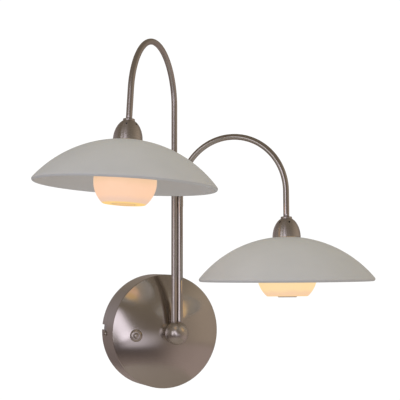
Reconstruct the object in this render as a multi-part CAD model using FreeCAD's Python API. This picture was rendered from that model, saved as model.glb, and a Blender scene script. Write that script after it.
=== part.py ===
import FreeCAD, Part
import math
import os

# Double arm wall light. Millimetres, +Z up, the wall is the plane Y = 0 and the light stands out
# towards -Y. The origin is the centre of the canopy's back edge on the wall.

V = FreeCAD.Vector

# Canopy
canopy_diameter = 158.0
canopy_side_depth = 42.0
canopy_dome_rise = 23.0
canopy_wall = 1.0
canopy_edge_round = 1.2

# L-shaped slots in the canopy's side, for its side screws
slot_mouth_width = 7.0
slot_mouth_above_screw = 5.1
slot_lane_width = 4.8
side_screw_depth = 14.0
side_screw_drop = 2.5
side_screw_shank = 4.0
side_screw_head = 7.0
side_screw_head_height = 2.4
side_screw_length = 9.0

# Wall bracket
bracket_thickness = 2.0
bracket_strap_width = 24.0
bracket_ear_depth = 21.0
bracket_fit = 0.3
bracket_relief_depth = 4.5
bracket_relief_width = 7.0
tongue_width = 100.0
tongue_top = 54.0
tongue_corner_round = 6.0
wall_slot_spacing = 116.0
wall_slot_width = 5.0
wall_slot_length = 12.0
cable_hole_diameter = 14.0

# Transformer, terminal block and earth point on the bracket
transformer_length = 78.0
transformer_width = 32.0
transformer_height = 20.0
transformer_foot = 9.0
transformer_foot_thickness = 2.0
transformer_above_strap = 4.0
terminal_length = 30.0
terminal_width = 17.0
terminal_height = 14.0
terminal_start = 12.0
terminal_poles = 3
terminal_gap = 1.2
terminal_web_height = 7.5
terminal_way = 3.8
terminal_way_height = 5.5
terminal_well_place = 5.0
earth_place = -26.0
earth_tag_diameter = 8.0
earth_tag_thickness = 0.8
earth_hole_clearance = 0.2
earth_blade_length = 5.0
earth_barrel = 3.6
earth_barrel_bore = 2.0
earth_barrel_length = 5.0
small_screw_shank = 3.0
small_screw_head = 5.6
small_screw_head_height = 2.0
small_screw_off_wall = 0.2

# Push switch in the dome
switch_from_edge = 29.0
switch_angle = 184.2
switch_seat_gap = 0.05
switch_ring_diameter = 17.0
switch_ring_height = 3.4
switch_ring_crest = 8.4
switch_ring_cover = 1.0
switch_dish_depth = 0.5
switch_neck_diameter = 10.0
switch_neck_play = 0.1
switch_nut_height = 2.4
switch_nut_flats = 14.0
switch_nut_gap = 0.3
switch_body_diameter = 19.0
switch_body_length = 20.0
plunger_diameter = 5.4
plunger_clearance = 0.3
plunger_stand_out = 2.0
plunger_dome = 0.9
plunger_travel = 1.6
plunger_well = 9.0

# Ball hub and the nipple that holds it to the dome
ball_diameter = 32.0
ball_from_wall = 81.0
neck_ring_diameter = 14.0
nipple_diameter = 10.0
nipple_bore = 7.0
nipple_clearance = 0.05
nipple_in_ball = 9.0
nipple_tip_gap = 0.2
nipple_nut_flats = 17.0
nipple_nut_height = 4.0
dome_washer_diameter = 34.0
dome_washer_thickness = 1.5
dome_washer_gap = 0.1
nipple_past_nut = 3.0
ball_recess_diameter = 19.0
ball_recess_top = -5.0
ball_plug_top = -9.6
ball_plug_clearance = 0.05
ball_seat_height = 4.0
lead_way_diameter = 3.6

# Tubes and their feet in the ball
tube_diameter = 8.0
tube_wall = 1.0
tube_spacing = 8.6
tube_seat_clearance = 0.08
solder_gap = 0.02
foot_diameter = 6.0
foot_clearance = 0.05
foot_bottom = -8.0
foot_flange_height = 1.0
foot_plug_length = 6.3
foot_bore = 3.8
foot_washer_thickness = 0.6
foot_washer_play = 0.2
foot_axial_play = 0.1
foot_ring_diameter = 8.2
foot_ring_thickness = 0.8
foot_groove_depth = 0.55
foot_ring_play = 0.3
foot_ring_gap = 2.4
foot_groove_play = 0.1
lead_diameter = 3.0
bend_radius = 76.8
sleeve_wall = 0.26
sleeve_clearance = 0.02
sleeve_length = 15.0
foot_sleeve_gap = 0.3
upper_sleeve_below_bend = 1.5

# How each crook stands: heights above the canopy's centre and along the tube's end, angles in degrees
left_arm_top = 388.7
left_drop = 122.5
left_azimuth = -43.1
left_short_of_half_turn = 3.5
left_twist = -2.1
left_vent_turn = 10.0
left_cup_slip = 1.3
right_arm_top = 269.3
right_drop = 118.5
right_azimuth = 42.5
right_short_of_half_turn = 1.2
right_twist = -1.9
right_vent_turn = 6.0
right_cup_slip = -1.1

# Frosted glass saucer, sizes about the head's own axis, heights above the rim's lowest edge
saucer_diameter = 230.0
saucer_rise = 58.7
saucer_thickness = 5.5
saucer_hole_diameter = 25.6

# Opal glass cup
cup_below_rim = 20.6
cup_diameter = 78.4
cup_widest_height = 28.0
cup_lower_radius = 37.2
cup_upper_radius = 47.2
cup_shoulder_height = 66.0
cup_neck_start = 68.6
cup_neck_diameter = 24.0
cup_neck_wall = 2.6
cup_wall = 3.0
cup_bottom_round = 3.0
cup_disc_diameter = 25.0
cup_disc_height = 1.3
cup_neck_above_saucer = 8.4
cup_neck_step = 3.0
gasket_width = 7.0
gasket_clearance = 0.15

# Bell cap and what it covers
cap_diameter = 37.0
cap_height = 24.6
cap_full_height = 26.9
cap_wall = 1.0
cap_top_wall = 1.2
cap_seat_gap = 0.1
vent_count = 6
vent_diameter = 2.3
vent_height = 19.6
collar_diameter = 14.9
collar_height = 2.6
spigot_diameter = 10.0
spigot_bore = 5.6
tube_in_spigot = 3.0
spigot_washer_diameter = 14.2
spigot_washer_thickness = 1.6
spigot_nut_flats = 14.0
spigot_nut_height = 3.0
thread_clearance = 0.05
carrier_wall = 1.8
carrier_disc_thickness = 1.6
carrier_gap = 0.3
carrier_disc_diameter = 22.4
carrier_cone_height = 5.0
carrier_clearance = 0.2

# Ceramic holder and its capsule lamp
holder_diameter = 15.0
holder_height = 12.6
holder_flats = 12.0
pin_spacing = 4.0
pin_diameter = 0.7
pin_clearance = 0.1
pin_length = 7.5
pin_in_holder = 5.5
capsule_diameter = 9.5
capsule_length = 24.0
capsule_pinch = 7.0
capsule_pinch_thickness = 4.0


class Arm:
    """One crook: where it stands, which way it points and how its bend ends."""

    def __init__(self, side, place, azimuth, top, drop,
                 short_of_half_turn, twist, vent_turn, cup_slip):
        self.side = side
        self.foot = V(place * tube_spacing / 2, -ball_from_wall, 0)
        self.azimuth = azimuth
        self.bend_start = top - tube_diameter / 2 - bend_radius
        self.drop = drop
        self.short_of_half_turn = short_of_half_turn
        self.twist = twist
        self.vent_turn = vent_turn
        self.cup_slip = cup_slip


# Azimuth is measured from the wall's normal, positive to the right; drop is the distance along the
# tube's end from its bend to the saucer's rim, and cup_slip is how far the cup's neck sits lower in
# its carrier than on average.
left_arm = Arm("left", -1, left_azimuth, left_arm_top, left_drop,
               left_short_of_half_turn, left_twist, left_vent_turn, left_cup_slip)
right_arm = Arm("right", 1, right_azimuth, right_arm_top, right_drop,
                right_short_of_half_turn, right_twist, right_vent_turn, right_cup_slip)
arms = [left_arm, right_arm]


# General shapes

def outline(start, *steps):
    """Closed face in the XZ plane from (r, z) points; a pair of points is an arc through the first."""
    here = V(start[0], 0, start[1])
    first = here
    edges = []
    for step in steps:
        if isinstance(step[0], tuple):
            through = V(step[0][0], 0, step[0][1])
            end = V(step[1][0], 0, step[1][1])
            edges.append(Part.Arc(here, through, end).toShape())
        else:
            end = V(step[0], 0, step[1])
            edges.append(Part.makeLine(here, end))
        here = end
    if here.distanceToPoint(first) > 1e-6:
        edges.append(Part.makeLine(here, first))
    return Part.Face(Part.Wire(edges))


def turned(start, *steps):
    """Solid of revolution about local Z."""
    return outline(start, *steps).revolve(V(0, 0, 0), V(0, 0, 1), 360)


def ring(outer, inner, low, high):
    """Plain ring about local Z, from its two diameters and two heights."""
    return turned((inner / 2, low), (outer / 2, low), (outer / 2, high), (inner / 2, high))


def rod(diameter, low, high):
    """Plain cylinder about local Z."""
    return Part.makeCylinder(diameter / 2, high - low, V(0, 0, low))


def block(low, high):
    """Box between two opposite corners."""
    return Part.makeBox(high[0] - low[0], high[1] - low[1], high[2] - low[2], V(*low))


def hexagon(across_flats, low, high):
    """Hexagonal prism about local Z."""
    reach = across_flats / math.sqrt(3)
    corners = [V(reach * math.cos(math.radians(60 * i)), reach * math.sin(math.radians(60 * i)), low)
               for i in range(7)]
    return Part.Face(Part.makePolygon(corners)).extrude(V(0, 0, high - low))


def rounded_bar(length, width, low, high):
    """Bar along X with half-round ends, about local Z."""
    straight = (length - width) / 2
    ends = [Part.makeCylinder(width / 2, high - low, V(side * straight, 0, low)) for side in (-1, 1)]
    middle = block((-straight, -width / 2, low), (straight, width / 2, high))
    return middle.fuse(ends).removeSplitter()


def placed(shape, position, x_axis, z_axis):
    """The shape with its local X and Z turned to the given directions and its origin at position."""
    turn = FreeCAD.Rotation(x_axis, V(0, 0, 0), z_axis, "ZXY")
    moved = shape.copy()
    moved.Placement = FreeCAD.Placement(position, turn).multiply(moved.Placement)
    return moved


def pan_head_screw(shank, length, head, head_height):
    """Screw along local Z: the head's seat at 0, the shank below it, a cross recess in the head."""
    dome = turned((0, 0), (head / 2, 0), (head / 2, head_height * 0.35),
                  ((head * 0.33, head_height * 0.85), (0, head_height)))
    body = dome.fuse(rod(shank, -length, 0))
    reach = head * 0.26
    slit = head * 0.065
    floor = head_height * 0.45
    above = head_height + 1
    return body.cut([block((-reach, -slit, floor), (reach, slit, above)),
                     block((-slit, -reach, floor), (slit, reach, above))])


# Canopy frame: local X to the right, local Y up, local Z out from the wall

def on_wall(shape):
    """From the canopy frame to the light's frame."""
    return placed(shape, V(0, 0, 0), V(1, 0, 0), V(0, -1, 0))


canopy_radius = canopy_diameter / 2
dome_radius = (canopy_radius ** 2 + canopy_dome_rise ** 2) / (2 * canopy_dome_rise)
dome_top = canopy_side_depth + canopy_dome_rise
dome_centre = dome_top - dome_radius


def dome_height(distance, inset=0.0):
    """Height of the dome, or of its inner face, at a distance from its axis."""
    return dome_centre + math.sqrt((dome_radius - inset) ** 2 - distance ** 2)


def canopy_block(inset):
    """The canopy as a full solid, or the space inside its wall."""
    radius = canopy_radius - inset
    knee = dome_height(radius, inset)
    half = radius * 0.55
    dome = ((half, dome_height(half, inset)), (0, dome_top - inset))
    solid = turned((0, 0), (radius, 0), (radius, knee), dome)
    edge = [e for e in solid.Edges if abs(e.BoundBox.ZMin - knee) < 0.01 and e.BoundBox.ZLength < 0.01]
    return solid.makeFillet(max(canopy_edge_round - inset, 0.3), edge)


def side_pair(shape):
    """A shape and its twin, half a turn round local Z."""
    twin = shape.copy()
    twin.rotate(V(0, 0, 0), V(0, 0, 1), 180)
    return [shape, twin]


lane_bottom = side_screw_depth - slot_lane_width / 2
lane_top = side_screw_depth + slot_lane_width / 2
mouth_low = slot_mouth_above_screw - side_screw_drop
mouth_high = mouth_low + slot_mouth_width


def rim_slot():
    """L-shaped slot of the left side: an open mouth at the wall, and a lane down to the screw."""
    outer = -canopy_radius - canopy_wall
    inner = -canopy_radius + 6 * canopy_wall
    mouth = block((outer, mouth_low, -canopy_wall), (inner, mouth_high, lane_top))
    lane = block((outer, -side_screw_drop, lane_bottom), (inner, mouth_low + canopy_wall, lane_top))
    start = V(outer, -side_screw_drop, side_screw_depth)
    pocket = Part.makeCylinder(slot_lane_width / 2, inner - outer, start, V(1, 0, 0))
    return mouth.fuse([lane, pocket])


# The switch stands square to the dome
switch_distance = canopy_radius - switch_from_edge
switch_turn = math.radians(switch_angle)
switch_tilt = math.asin(switch_distance / dome_radius)
switch_across = V(-math.sin(switch_turn), math.cos(switch_turn), 0)
switch_outward = V(math.cos(switch_turn), math.sin(switch_turn), 0)
switch_axis = switch_outward * math.sin(switch_tilt) + V(0, 0, math.cos(switch_tilt))
switch_place = V(0, 0, dome_centre) + switch_axis * dome_radius


def on_switch(shape):
    """From the switch's own axis, with the dome's outer face at 0, to the canopy frame."""
    return placed(shape, switch_place, switch_across, switch_axis)


def make_canopy_shell():
    shell = canopy_block(0).cut(canopy_block(canopy_wall))
    shell = shell.cut(side_pair(rim_slot()))
    centre_hole = rod(nipple_diameter + 2 * nipple_clearance, canopy_side_depth, dome_top + 1)
    switch_hole = on_switch(rod(switch_neck_diameter + 2 * nipple_clearance, -4 * canopy_wall, canopy_wall))
    return shell.cut([centre_hole, switch_hole])


def make_wall_bracket():
    reach = canopy_radius - canopy_wall - bracket_fit
    half = bracket_strap_width / 2
    plate = rod(2 * reach, 0, bracket_thickness)
    strap = plate.common(block((-reach, -half, 0), (reach, half, bracket_thickness)))
    tongue = block((-tongue_width / 2, 0, 0), (tongue_width / 2, tongue_top, bracket_thickness))
    corners = [e for e in tongue.Edges if e.BoundBox.ZLength > 1 and e.BoundBox.YMin > 1]
    tongue = tongue.makeFillet(tongue_corner_round, corners)
    rim = ring(2 * reach, 2 * (reach - bracket_thickness), 0, bracket_ear_depth)
    ears = rim.common(block((-reach, -half, 0), (reach, half, bracket_ear_depth)))
    bracket = strap.fuse([tongue, ears]).removeSplitter()
    relief = block((-reach - 1, mouth_low - 1, -1),
                   (-reach + bracket_relief_width, half + 1, bracket_relief_depth))
    bracket = bracket.cut(side_pair(relief))
    slots = []
    for side in (-1, 1):
        slot = rounded_bar(wall_slot_length, wall_slot_width, -1, bracket_thickness + 1)
        slot.translate(V(side * wall_slot_spacing / 2, 0, 0))
        slots.append(slot)
    ear_start = V(-reach - bracket_thickness, -side_screw_drop, side_screw_depth)
    ear_hole = Part.makeCylinder(side_screw_shank / 2 + thread_clearance, 6 * bracket_thickness,
                                 ear_start, V(1, 0, 0))
    holes = slots + side_pair(ear_hole)
    holes.append(rod(cable_hole_diameter, -1, bracket_thickness + 1))
    holes += [screw_hole(place) for place in bracket_screw_places()]
    return bracket.cut(holes)


def transformer_middle():
    """Height of the transformer's middle above the canopy's centre."""
    return bracket_strap_width / 2 + transformer_above_strap + transformer_width / 2


def bracket_screw_places():
    """Centres of the small screws in the bracket: two feet, the terminal block, the earth point."""
    foot = transformer_length / 2 + transformer_foot / 2
    return [(-foot, transformer_middle()), (foot, transformer_middle()),
            (terminal_middle, 0), (earth_place, 0)]


def small_screw(x, y, seat):
    """Screw into the bracket, its head's seat at the given height and its tip just off the wall."""
    screw = pan_head_screw(small_screw_shank, seat - small_screw_off_wall, small_screw_head,
                           small_screw_head_height)
    return placed(screw, V(x, y, seat), V(1, 0, 0), V(0, 0, 1))


def screw_hole(place):
    return Part.makeCylinder(small_screw_shank / 2 + thread_clearance, 6, V(place[0], place[1], -1))


def make_side_screws():
    screw = pan_head_screw(side_screw_shank, side_screw_length, side_screw_head, side_screw_head_height)
    seat = V(-canopy_radius - 0.1, -side_screw_drop, side_screw_depth)
    return Part.makeCompound(side_pair(placed(screw, seat, V(0, 0, 1), V(-1, 0, 0))))


def make_transformer():
    half = transformer_length / 2
    low = bracket_thickness
    middle = transformer_middle()
    case = block((-half, middle - transformer_width / 2, low),
                 (half, middle + transformer_width / 2, low + transformer_height))
    case = case.makeFillet(2.5, [e for e in case.Edges if e.BoundBox.ZMax > low + 1])
    reach = half + transformer_foot
    foot_width = transformer_width * 0.45
    foot = block((-reach, middle - foot_width / 2, low),
                 (reach, middle + foot_width / 2, low + transformer_foot_thickness))
    feet = foot.makeFillet(3, [e for e in foot.Edges if e.BoundBox.ZLength > 1])
    holes = [screw_hole(place) for place in bracket_screw_places()[:2]]
    return case.fuse(feet).removeSplitter().cut(holes)


def make_transformer_screws():
    seat = bracket_thickness + transformer_foot_thickness
    return Part.makeCompound([small_screw(x, y, seat) for x, y in bracket_screw_places()[:2]])


terminal_middle = terminal_start + terminal_length / 2
terminal_web_top = bracket_thickness + terminal_web_height


def make_terminal_block():
    """Row of pole housings on a web, each with a through way for its wires and two screw wells."""
    low = bracket_thickness
    pitch = terminal_length / terminal_poles
    half = (pitch - terminal_gap) / 2
    reach = terminal_width / 2
    housings = []
    shank_hole = small_screw_shank / 2 + thread_clearance
    head_hole = small_screw_head / 2 + thread_clearance
    cuts = [Part.makeCylinder(shank_hole, terminal_height, V(terminal_middle, 0, 0)),
            Part.makeCylinder(head_hole, terminal_height, V(terminal_middle, 0, terminal_web_top))]
    for pole in range(terminal_poles):
        centre = terminal_start + pitch * (pole + 0.5)
        housings.append(block((centre - half, -reach, low), (centre + half, reach, low + terminal_height)))
        way_start = V(centre, -reach - 1, low + terminal_way_height)
        cuts.append(Part.makeCylinder(terminal_way / 2, terminal_width + 2, way_start, V(0, 1, 0)))
        for side in (-1, 1):
            well = V(centre, side * terminal_well_place, low + terminal_way_height)
            cuts.append(Part.makeCylinder(terminal_way / 2, terminal_height, well))
    web = block((terminal_start, -terminal_well_place, low),
                (terminal_start + terminal_length, terminal_well_place, terminal_web_top))
    return web.fuse(housings).removeSplitter().cut(cuts)


def make_terminal_screw():
    return small_screw(terminal_middle, 0, terminal_web_top)


def make_earth_tag():
    """Ring tag with a crimp barrel for the earth wire."""
    low = bracket_thickness
    blade_reach = earth_tag_diameter / 2 + earth_blade_length
    barrel_radius = earth_barrel / 2
    high = low + earth_tag_thickness
    plate = ring(earth_tag_diameter, small_screw_shank + 2 * earth_hole_clearance, low, high)
    blade = block((earth_tag_diameter / 2 - earth_tag_thickness, -barrel_radius, low),
                  (blade_reach, barrel_radius, high))
    start = V(blade_reach - earth_tag_thickness, 0, low + barrel_radius)
    barrel = Part.makeCylinder(barrel_radius, earth_barrel_length, start, V(1, 0, 0))
    barrel = barrel.cut(Part.makeCylinder(earth_barrel_bore / 2, earth_barrel_length, start, V(1, 0, 0)))
    tag = plate.fuse([blade, barrel])
    tag.translate(V(earth_place, 0, 0))
    return tag


def make_earth_screw():
    return small_screw(earth_place, 0, bracket_thickness + earth_tag_thickness)


# Push switch, along its own axis: 0 is the dome's outer face, positive outwards

switch_ring_top = switch_seat_gap + switch_ring_height
switch_dish = switch_ring_top - switch_dish_depth
switch_neck_top = switch_dish - switch_ring_cover - switch_neck_play
switch_nut_top = -canopy_wall - switch_nut_gap
switch_body_top = switch_nut_top - switch_nut_height - switch_seat_gap
switch_well = switch_neck_top - plunger_well
plunger_hole = plunger_diameter / 2 + plunger_clearance


def make_switch_ring():
    """Ring nut with a rounded flank and a shallow dish at the plunger, over the switch's neck."""
    radius = switch_ring_diameter / 2
    crest = switch_ring_crest / 2
    thread = switch_neck_diameter / 2 + thread_clearance
    shoulder = ((radius + crest) / 2 + 0.9, switch_seat_gap + switch_ring_height * 0.68)
    dish_middle = ((crest + plunger_hole) / 2, switch_dish + switch_dish_depth * 0.3)
    under = switch_dish - switch_ring_cover
    return turned((thread, switch_seat_gap), (radius, switch_seat_gap), (shoulder, (crest, switch_ring_top)),
                  (dish_middle, (plunger_hole, switch_dish)), (plunger_hole, under), (thread, under))


def make_switch_body():
    neck = switch_neck_diameter / 2
    body = switch_body_diameter / 2
    bottom = switch_body_top - switch_body_length
    return turned((0, bottom), (body, bottom), (body, switch_body_top), (neck, switch_body_top),
                  (neck, switch_neck_top), (plunger_hole, switch_neck_top), (plunger_hole, switch_well),
                  (0, switch_well))


def make_switch_nut():
    """Hexagon nut between the switch's body and the dome's inner face."""
    low = switch_nut_top - switch_nut_height
    nut = hexagon(switch_nut_flats, low, switch_nut_top)
    return nut.cut(rod(switch_neck_diameter + 2 * thread_clearance, low - 1, switch_nut_top + 1))


def make_switch_plunger():
    """Plunger with a domed tip, clear of its well's floor when it is pressed."""
    radius = plunger_diameter / 2
    tip = switch_dish + plunger_stand_out
    shoulder = tip - plunger_dome
    tail = switch_well + plunger_travel + plunger_clearance
    curve = (radius ** 2 + plunger_dome ** 2) / (2 * plunger_dome)
    middle = (radius / 2, tip - curve + math.sqrt(curve ** 2 - radius ** 2 / 4))
    return turned((0, tail), (radius, tail), (radius, shoulder), (middle, (0, tip)))


# Ball hub, in the light's own frame with the ball's centre as origin

ball_radius = ball_diameter / 2
neck_back = dome_height(nipple_diameter / 2 + nipple_clearance)
ball_flat = math.sqrt(ball_radius ** 2 - (neck_ring_diameter / 2 - 0.5) ** 2)
neck_front = ball_from_wall - ball_flat


def at_ball(shape):
    """From the ball's centre to the light's frame."""
    moved = shape.copy()
    moved.translate(V(0, -ball_from_wall, 0))
    return moved


def at_feet(shape):
    """A copy of the shape at each tube's place in the ball."""
    copies = []
    for arm in arms:
        foot = shape.copy()
        foot.translate(V(arm.foot.x, 0, 0))
        copies.append(foot)
    return copies


def make_hub_ball():
    ball = Part.makeSphere(ball_radius)
    back_flat = block((-ball_radius, ball_flat, -ball_radius),
                      (ball_radius, ball_radius + 1, ball_radius))
    counterbore = rod(tube_diameter + 2 * tube_seat_clearance, ball_seat_height, ball_radius + 1)
    foot_bore_hole = rod(foot_diameter + 2 * foot_clearance, ball_recess_top - 1, ball_seat_height + 1)
    recess = rod(ball_recess_diameter, -ball_radius - 1, ball_recess_top)
    thread = Part.makeCylinder(nipple_diameter / 2 + nipple_clearance, nipple_in_ball + 1,
                               V(0, ball_flat - nipple_in_ball, 0), V(0, 1, 0))
    lead_way = rod(lead_way_diameter, ball_recess_top - 1, 0)
    lead_way.translate(V(0, ball_flat - nipple_in_ball + lead_way_diameter / 2, 0))
    cuts = [back_flat, recess, thread, lead_way] + at_feet(counterbore) + at_feet(foot_bore_hole)
    return at_ball(ball.cut(cuts))


def make_ball_plug():
    core = rod(ball_recess_diameter - 2 * ball_plug_clearance, -ball_radius - 1, ball_plug_top)
    return at_ball(Part.makeSphere(ball_radius).common(core))


def make_neck_ring():
    """Spacer between dome and ball, with a small groove round it."""
    radius = neck_ring_diameter / 2
    hole = nipple_diameter / 2 + nipple_clearance
    middle = (neck_back + neck_front) / 2
    return turned((hole, neck_back), (radius, neck_back), (radius, middle - 0.4), (radius - 0.6, middle),
                  (radius, middle + 0.4), (radius, neck_front), (hole, neck_front))


nipple_hole = nipple_diameter / 2 + nipple_clearance
dome_washer_inset = canopy_wall + dome_washer_gap
nipple_nut_reach = nipple_nut_flats / math.sqrt(3)
nipple_nut_top = dome_height(nipple_nut_reach, dome_washer_inset) - dome_washer_thickness - dome_washer_gap
nipple_end = nipple_nut_top - nipple_nut_height - nipple_past_nut


def make_dome_washer():
    """Big washer that follows the dome's inner curve, so the thin shell carries the arms."""
    radius = dome_washer_diameter / 2
    half = (radius + nipple_hole) / 2

    def high(distance):
        return dome_height(distance, dome_washer_inset)

    def low(distance):
        return high(distance) - dome_washer_thickness

    return turned((nipple_hole, low(nipple_hole)), (nipple_hole, high(nipple_hole)),
                  ((half, high(half)), (radius, high(radius))), (radius, low(radius)),
                  ((half, low(half)), (nipple_hole, low(nipple_hole))))


def make_nipple_nut():
    low = nipple_nut_top - nipple_nut_height
    nut = hexagon(nipple_nut_flats, low, nipple_nut_top)
    return nut.cut(rod(2 * nipple_hole, low - 1, nipple_nut_top + 1))


def make_nipple():
    return ring(nipple_diameter, nipple_bore, nipple_end, neck_front + nipple_in_ball - nipple_tip_gap)


def make_foot_washers():
    top = ball_seat_height + foot_washer_thickness
    washer = ring(tube_diameter - foot_washer_play, foot_diameter + foot_washer_play, ball_seat_height, top)
    return at_ball(Part.makeCompound(at_feet(washer)))


# Tubes, in the light's own frame

flange_low = ball_seat_height + foot_washer_thickness + foot_axial_play
tube_foot = flange_low + foot_flange_height
foot_ring_top = ball_recess_top - foot_ring_play


def bend(arm):
    """The two quarter bends of a crook: its top point, its end point and the end's direction."""
    angle = math.radians(arm.azimuth)
    outward = V(math.sin(angle), -math.cos(angle), 0)
    sideways = V(math.cos(angle), math.sin(angle), 0)
    turn = math.radians(arm.twist)
    down = V(0, 0, -math.cos(turn)) + sideways * math.sin(turn)
    start = arm.foot + V(0, 0, arm.bend_start)
    top = start + outward * bend_radius + V(0, 0, bend_radius)
    sweep = math.pi / 2 - math.radians(arm.short_of_half_turn)

    def second(a):
        return top + outward * (bend_radius * math.sin(a)) + down * (bend_radius * (1 - math.cos(a)))

    direction = outward * math.cos(sweep) + down * math.sin(sweep)
    first_middle = start + outward * (bend_radius * (1 - math.cos(math.pi / 4)))
    first_middle = first_middle + V(0, 0, bend_radius * math.sin(math.pi / 4))
    return start, first_middle, top, second(sweep / 2), second(sweep), direction, outward


def crook(arm, low, tail, outer, inner=0.0):
    """Tube or lead along an arm's whole route, from height low to tail past the bend."""
    start, first_middle, top, second_middle, end, direction, outward = bend(arm)
    foot = arm.foot + V(0, 0, low)
    bends = [Part.Arc(start, first_middle, top).toShape(), Part.Arc(top, second_middle, end).toShape()]
    route = Part.Wire([Part.makeLine(foot, start)] + bends + [Part.makeLine(end, end + direction * tail)])
    circle = Part.Wire(Part.makeCircle(outer / 2, foot, V(0, 0, 1)))
    solid = route.makePipe(Part.Face(circle))
    section = math.pi * outer ** 2 / 4
    if inner:
        hole = Part.Wire(Part.makeCircle(inner / 2, foot, V(0, 0, 1)))
        solid = solid.cut(route.makePipe(Part.Face(hole)))
        section = section - math.pi * inner ** 2 / 4
    share = solid.Volume / (section * route.Length)
    print(arm.side, "crook", round(route.Length, 1), "mm long, its volume over section times length is",
          round(share, 4))
    return solid


def make_foot_stud():
    """Turned foot of a tube, about the tube's axis with the ball's centre at 0."""
    radius = foot_diameter / 2
    bore = foot_bore / 2
    groove_high = foot_ring_top + foot_groove_play
    groove_low = foot_ring_top - foot_ring_thickness - foot_groove_play
    groove = radius - foot_groove_depth
    plug = tube_diameter / 2 - tube_wall - thread_clearance
    flange = tube_diameter / 2 - solder_gap
    return turned((bore, foot_bottom), (radius, foot_bottom), (radius, groove_low), (groove, groove_low),
                  (groove, groove_high), (radius, groove_high), (radius, flange_low), (flange, flange_low),
                  (flange, tube_foot), (plug, tube_foot), (plug, tube_foot + foot_plug_length),
                  (bore, tube_foot + foot_plug_length))


def make_foot_ring():
    """Open retaining ring in the foot's groove."""
    low = foot_ring_top - foot_ring_thickness
    high = foot_ring_top
    full = ring(foot_ring_diameter, foot_diameter - 2 * foot_groove_depth + foot_groove_play, low, high)
    gap = block((0, -foot_ring_gap / 2, low - 1), (foot_ring_diameter, foot_ring_gap / 2, high + 1))
    return full.cut(gap)


def at_foot(arm, shape):
    moved = shape.copy()
    moved.translate(arm.foot)
    return moved


def make_sleeve(arm, low):
    inner = tube_diameter + 2 * sleeve_clearance
    return at_foot(arm, ring(inner + 2 * sleeve_wall, inner, low, low + sleeve_length))


# Head frame: local Z back up along the tube's end, 0 at the saucer's lowest edge, local X outward

rim_round = saucer_thickness / 2
rim_centre = saucer_diameter / 2 - rim_round
saucer_radius = (rim_centre ** 2 + (saucer_rise - rim_round) ** 2 - rim_round ** 2)
saucer_radius = saucer_radius / (2 * (saucer_rise - saucer_thickness))
saucer_centre = saucer_rise - saucer_radius
cup_low = -cup_below_rim


def saucer_height(distance, inset=0.0):
    """Height of the saucer's outer face, or of its underside, at a distance from its axis."""
    return saucer_centre + math.sqrt((saucer_radius - inset) ** 2 - distance ** 2)


cap_low = saucer_height(cap_diameter / 2) + cap_seat_gap
cap_top = cap_low + cap_height
spigot_washer_top = cap_top - cap_top_wall
spigot_nut_top = spigot_washer_top - spigot_washer_thickness
carrier_top = spigot_nut_top - spigot_nut_height - carrier_gap
spigot_low = carrier_top - carrier_disc_thickness
neck_top = saucer_rise + cup_neck_above_saucer


def make_saucer():
    hole = saucer_hole_diameter / 2
    out = V(rim_centre, 0, rim_round - saucer_centre).normalize()
    round_out = (rim_centre + rim_round * out.x, rim_round + rim_round * out.z)
    round_in = (rim_centre - rim_round * out.x, rim_round - rim_round * out.z)
    round_middle = (rim_centre + rim_round * out.z, rim_round - rim_round * out.x)
    half = rim_centre * 0.55
    inset = saucer_thickness
    outside = ((half, saucer_height(half)), round_out)
    underside = ((half, saucer_height(half, inset)), (hole, saucer_height(hole, inset)))
    return turned((hole, saucer_height(hole)), outside, (round_middle, round_in), underside)


def cup_side(height, inset):
    """Distance from the axis to the cup's side, at a height above its bottom."""
    radius = cup_lower_radius if height < cup_widest_height else cup_upper_radius
    centre = cup_diameter / 2 - radius
    return centre + math.sqrt((radius - inset) ** 2 - (height - cup_widest_height) ** 2)


def cup_block(inset):
    """The cup as a full solid, or the space inside its wall: two arcs meet at its widest height."""
    bottom = inset
    lower = cup_widest_height * 0.6
    upper = (cup_widest_height + cup_shoulder_height) / 2
    shoulder = cup_shoulder_height - inset
    neck_start = cup_neck_start - inset
    neck = cup_neck_diameter / 2 - (cup_neck_wall if inset else 0)
    top = neck_top - cup_low + (1 if inset else 0)
    solid = turned((0, bottom), (cup_side(bottom, inset), bottom),
                   ((cup_side(lower, inset), lower), (cup_diameter / 2 - inset, cup_widest_height)),
                   ((cup_side(upper, inset), upper), (cup_side(shoulder, inset), shoulder)),
                   (cup_side(shoulder, inset) - cup_neck_step, neck_start), (neck, neck_start), (neck, top),
                   (0, top))
    edge = [e for e in solid.Edges
            if abs(e.BoundBox.ZMax - bottom) < 0.01 and e.BoundBox.XLength > cup_diameter / 4]
    solid = solid.makeFillet(max(cup_bottom_round - inset, 0.5), edge)
    solid.translate(V(0, 0, cup_low))
    return solid


def make_cup(arm):
    disc_radius = cup_disc_diameter / 2
    face = cup_low - cup_disc_height
    rounded = ((disc_radius - 0.3, face + 0.1), (disc_radius - 1.0, face))
    overlap = cup_low + cup_wall / 6
    disc = turned((0, overlap), (disc_radius, overlap), (disc_radius, face + 0.6), rounded, (0, face))
    cup = cup_block(0).cut(cup_block(cup_wall)).fuse(disc).removeSplitter()
    cup.translate(V(0, 0, -arm.cup_slip))
    return cup


def make_gasket(arm):
    """Soft ring between the cup's shoulder and the saucer's underside."""
    inner = cup_neck_diameter / 2 + 0.3
    outer = inner + gasket_width
    low = cup_low - arm.cup_slip + cup_neck_start + gasket_clearance
    return turned((inner, low), (outer - 1.2, low), (outer, low + 0.8),
                  (outer, saucer_height(outer, saucer_thickness) - gasket_clearance),
                  (inner, saucer_height(inner, saucer_thickness) - gasket_clearance))


def cap_arc(radius, full_height, height):
    """Quarter ellipse of the cap's side, from its foot up to a height, as one edge."""
    ellipse = Part.Ellipse(V(0, 0, full_height), V(radius, 0, 0), V(0, 0, 0))
    return Part.ArcOfEllipse(ellipse, math.acos(height / full_height), math.pi / 2).toShape()


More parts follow.
